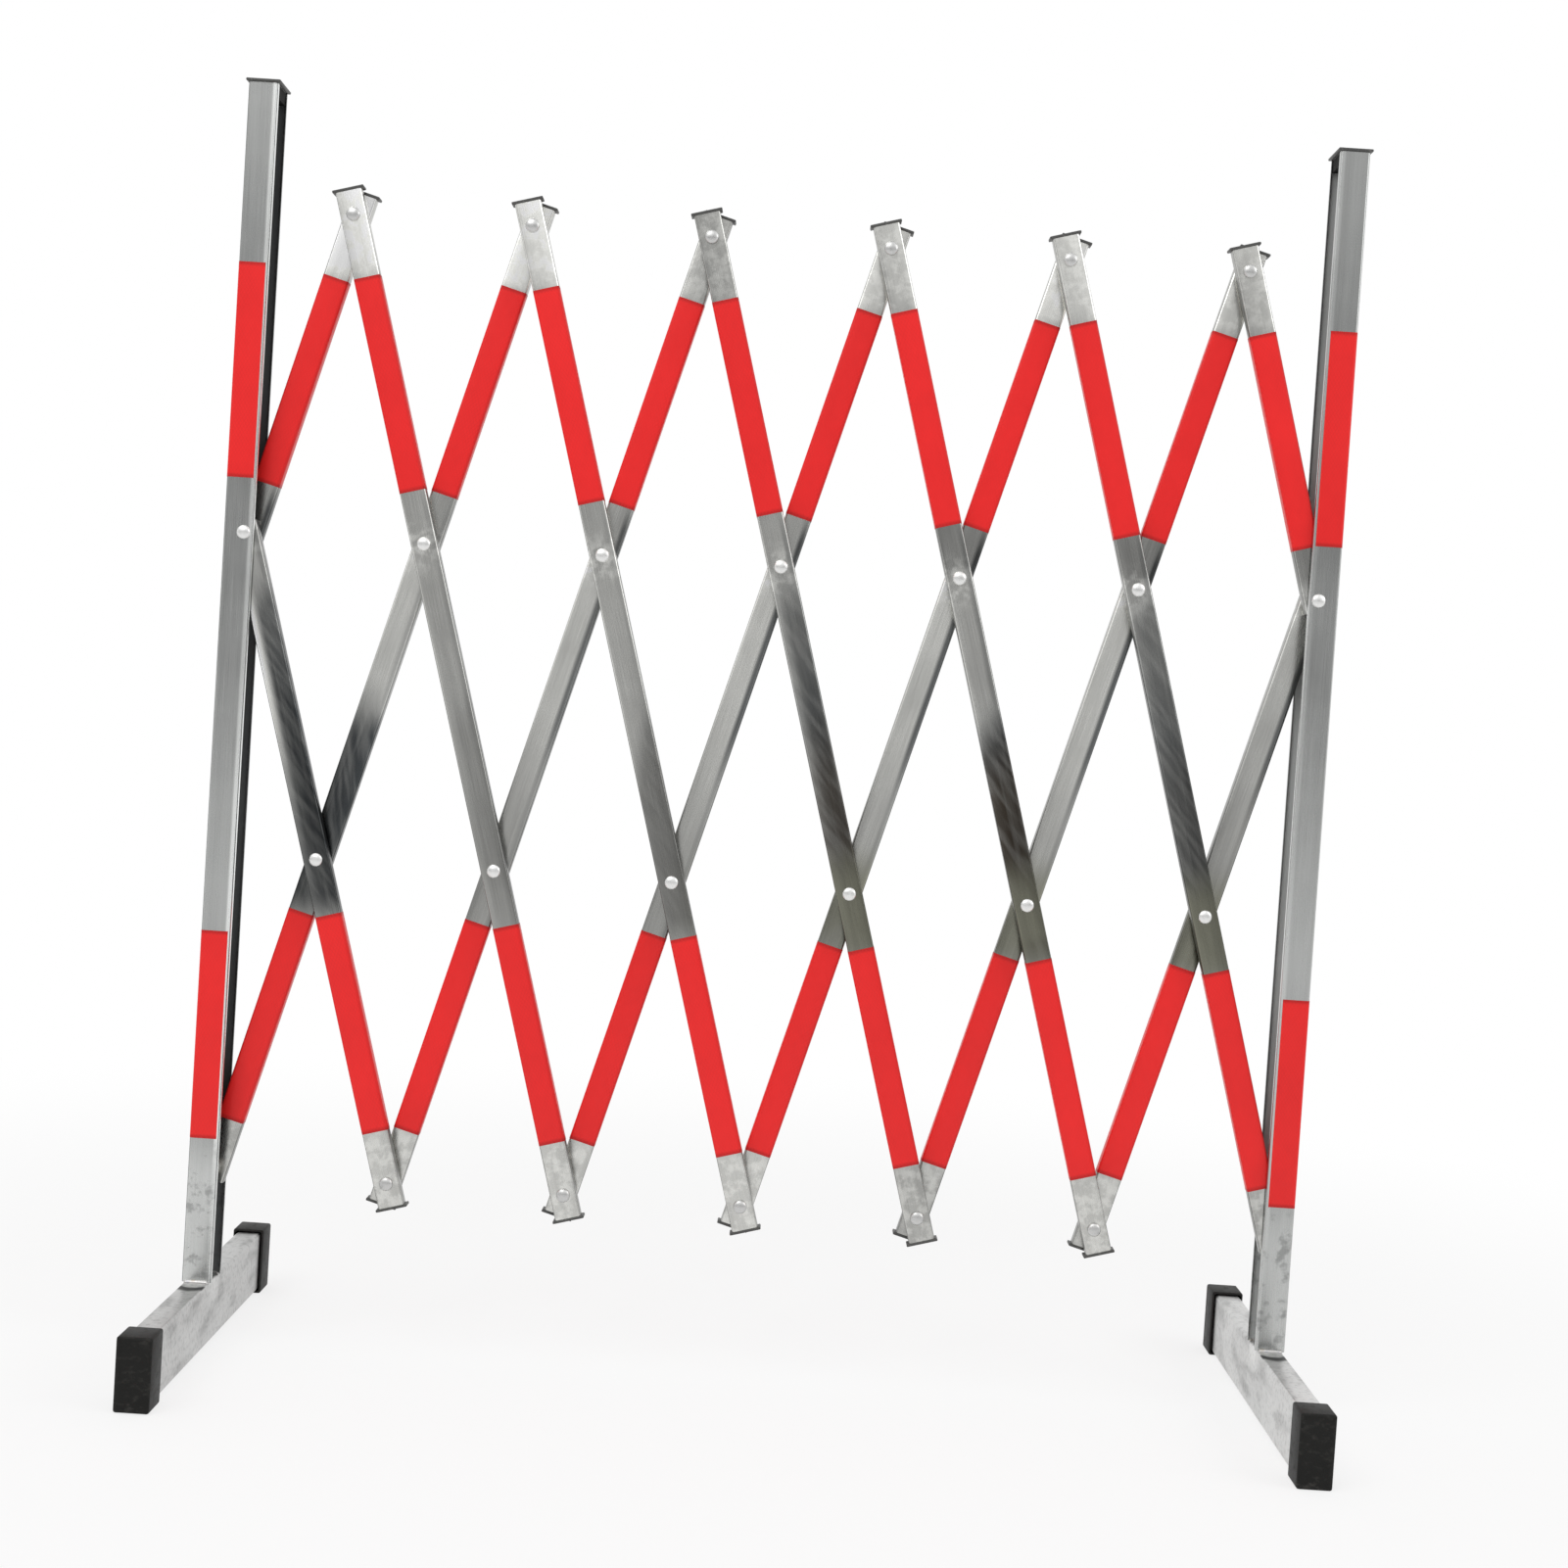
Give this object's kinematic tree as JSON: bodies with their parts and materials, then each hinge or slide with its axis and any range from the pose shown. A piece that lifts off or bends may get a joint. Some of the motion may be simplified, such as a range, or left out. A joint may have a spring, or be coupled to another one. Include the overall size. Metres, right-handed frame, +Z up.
{
  "type": "expandable safety barrier",
  "caption": "Free-standing folding safety barrier: flat-tube scissor lattice with red reflective bands between two posts on feet.",
  "frame": {"origin": "on the floor, midway between the two posts, as half open as in the picture", "axes": "+X along the barrier to the right post, +Y to the rear, +Z up"},
  "size_m": [1.0558, 0.44, 1.2],
  "materials": {
    "arm_steel": "brushed stainless tube with bands of red reflective tape",
    "post_steel": "brushed stainless channel with bands of red reflective tape",
    "foot_steel": "brushed stainless box tube",
    "red_tape": "red reflective tape with a fine prismatic grid, wrapped in bands round the arms and posts",
    "bright_fastener": "polished heads",
    "rubber_shoe": "matt, moulded",
    "plastic_cap": "matt, moulded",
    "nylon_bush": "natural nylon"
  },
  "bodies": {
    "left_stand": {"left_post": "post_steel", "left_post_cap": "plastic_cap", "left_foot_beam": "foot_steel", "left_foot_shoe_front": "rubber_shoe", "left_foot_shoe_rear": "rubber_shoe", "left_post_bolt": "bright_fastener", "left_post_nut": "bright_fastener"},
    "front_arm_0": {"front_arm_0": "arm_steel", "lower_rivet_1": "bright_fastener", "bottom_rivet_1": "bright_fastener"},
    "front_arm_1": {"front_arm_1": "arm_steel", "top_rivet_1": "bright_fastener", "upper_rivet_1": "bright_fastener", "lower_rivet_2": "bright_fastener", "bottom_rivet_2": "bright_fastener"},
    "front_arm_2": {"front_arm_2": "arm_steel", "top_rivet_2": "bright_fastener", "upper_rivet_2": "bright_fastener", "lower_rivet_3": "bright_fastener", "bottom_rivet_3": "bright_fastener"},
    "front_arm_3": {"front_arm_3": "arm_steel", "top_rivet_3": "bright_fastener", "upper_rivet_3": "bright_fastener", "lower_rivet_4": "bright_fastener", "bottom_rivet_4": "bright_fastener"},
    "front_arm_4": {"front_arm_4": "arm_steel", "top_rivet_4": "bright_fastener", "upper_rivet_4": "bright_fastener", "lower_rivet_5": "bright_fastener", "bottom_rivet_5": "bright_fastener"},
    "front_arm_5": {"front_arm_5": "arm_steel", "top_rivet_5": "bright_fastener", "upper_rivet_5": "bright_fastener", "lower_rivet_6": "bright_fastener", "right_slider_pin": "bright_fastener", "right_slider_bush_front": "nylon_bush", "right_slider_bush_rear": "nylon_bush"},
    "front_arm_6": {"front_arm_6": "arm_steel", "top_rivet_6": "bright_fastener"},
    "rear_arm_0": {"rear_arm_0": "arm_steel"},
    "rear_arm_1": {"rear_arm_1": "arm_steel", "left_slider_pin": "bright_fastener", "left_slider_bush_front": "nylon_bush", "left_slider_bush_rear": "nylon_bush"},
    "rear_arm_2": {"rear_arm_2": "arm_steel"},
    "rear_arm_3": {"rear_arm_3": "arm_steel"},
    "rear_arm_4": {"rear_arm_4": "arm_steel"},
    "rear_arm_5": {"rear_arm_5": "arm_steel"},
    "rear_arm_6": {"rear_arm_6": "arm_steel"},
    "right_stand": {"right_post": "post_steel", "right_post_cap": "plastic_cap", "right_foot_beam": "foot_steel", "right_foot_shoe_front": "rubber_shoe", "right_foot_shoe_rear": "rubber_shoe", "right_post_bolt": "bright_fastener", "right_post_nut": "bright_fastener"}
  },
  "joints": [
    {"name": "fold", "type": "hinge", "parent": "left_stand", "child": "front_arm_0", "pos_m": [-0.50668, 0, 0.7769], "axis": [0, -1, 0], "range_deg": [-10.5, 26.5]},
    {"name": "left_post_rear_pivot", "type": "hinge", "parent": "left_stand", "child": "rear_arm_0", "pos_m": [-0.50668, 0, 0.7769], "axis": [0, -1, 0], "range_deg": [-26.5, 10.5]},
    {"name": "lower_pivot_1", "type": "hinge", "parent": "front_arm_0", "child": "rear_arm_1", "pos_m": [-0.42224, 0, 0.47239], "axis": [0, -1, 0], "range_deg": [-53, 21]},
    {"name": "upper_pivot_1", "type": "hinge", "parent": "rear_arm_1", "child": "front_arm_1", "pos_m": [-0.33779, 0, 0.7769], "axis": [0, -1, 0], "range_deg": [-21, 53]},
    {"name": "lower_pivot_2", "type": "hinge", "parent": "front_arm_1", "child": "rear_arm_2", "pos_m": [-0.25334, 0, 0.47239], "axis": [0, -1, 0], "range_deg": [-53, 21]},
    {"name": "upper_pivot_2", "type": "hinge", "parent": "rear_arm_2", "child": "front_arm_2", "pos_m": [-0.16889, 0, 0.7769], "axis": [0, -1, 0], "range_deg": [-21, 53]},
    {"name": "lower_pivot_3", "type": "hinge", "parent": "front_arm_2", "child": "rear_arm_3", "pos_m": [-0.08445, 0, 0.47239], "axis": [0, -1, 0], "range_deg": [-53, 21]},
    {"name": "upper_pivot_3", "type": "hinge", "parent": "rear_arm_3", "child": "front_arm_3", "pos_m": [0, 0, 0.7769], "axis": [0, -1, 0], "range_deg": [-21, 53]},
    {"name": "lower_pivot_4", "type": "hinge", "parent": "front_arm_3", "child": "rear_arm_4", "pos_m": [0.08445, 0, 0.47239], "axis": [0, -1, 0], "range_deg": [-53, 21]},
    {"name": "upper_pivot_4", "type": "hinge", "parent": "rear_arm_4", "child": "front_arm_4", "pos_m": [0.16889, 0, 0.7769], "axis": [0, -1, 0], "range_deg": [-21, 53]},
    {"name": "lower_pivot_5", "type": "hinge", "parent": "front_arm_4", "child": "rear_arm_5", "pos_m": [0.25334, 0, 0.47239], "axis": [0, -1, 0], "range_deg": [-53, 21]},
    {"name": "upper_pivot_5", "type": "hinge", "parent": "rear_arm_5", "child": "front_arm_5", "pos_m": [0.33779, 0, 0.7769], "axis": [0, -1, 0], "range_deg": [-21, 53]},
    {"name": "lower_pivot_6", "type": "hinge", "parent": "front_arm_5", "child": "rear_arm_6", "pos_m": [0.42224, 0, 0.47239], "axis": [0, -1, 0], "range_deg": [-53, 21]},
    {"name": "right_post_pivot", "type": "hinge", "parent": "rear_arm_6", "child": "right_stand", "pos_m": [0.50668, 0, 0.7769], "axis": [0, -1, 0], "range_deg": [-10.5, 26.5]},
    {"name": "right_post_front_pivot", "type": "hinge", "parent": "right_stand", "child": "front_arm_6", "pos_m": [0.50668, 0, 0.7769], "axis": [0, -1, 0], "range_deg": [-10.5, 26.5]}
  ],
  "couplings": [
    {"joint": "left_post_rear_pivot", "follows": "fold", "ratio": -1},
    {"joint": "lower_pivot_1", "follows": "fold", "ratio": -2},
    {"joint": "upper_pivot_1", "follows": "fold", "ratio": 2},
    {"joint": "lower_pivot_2", "follows": "fold", "ratio": -2},
    {"joint": "upper_pivot_2", "follows": "fold", "ratio": 2},
    {"joint": "lower_pivot_3", "follows": "fold", "ratio": -2},
    {"joint": "upper_pivot_3", "follows": "fold", "ratio": 2},
    {"joint": "lower_pivot_4", "follows": "fold", "ratio": -2},
    {"joint": "upper_pivot_4", "follows": "fold", "ratio": 2},
    {"joint": "lower_pivot_5", "follows": "fold", "ratio": -2},
    {"joint": "upper_pivot_5", "follows": "fold", "ratio": 2},
    {"joint": "lower_pivot_6", "follows": "fold", "ratio": -2},
    {"joint": "right_post_pivot", "follows": "fold", "ratio": 1},
    {"joint": "right_post_front_pivot", "follows": "fold", "ratio": 1}
  ]
}
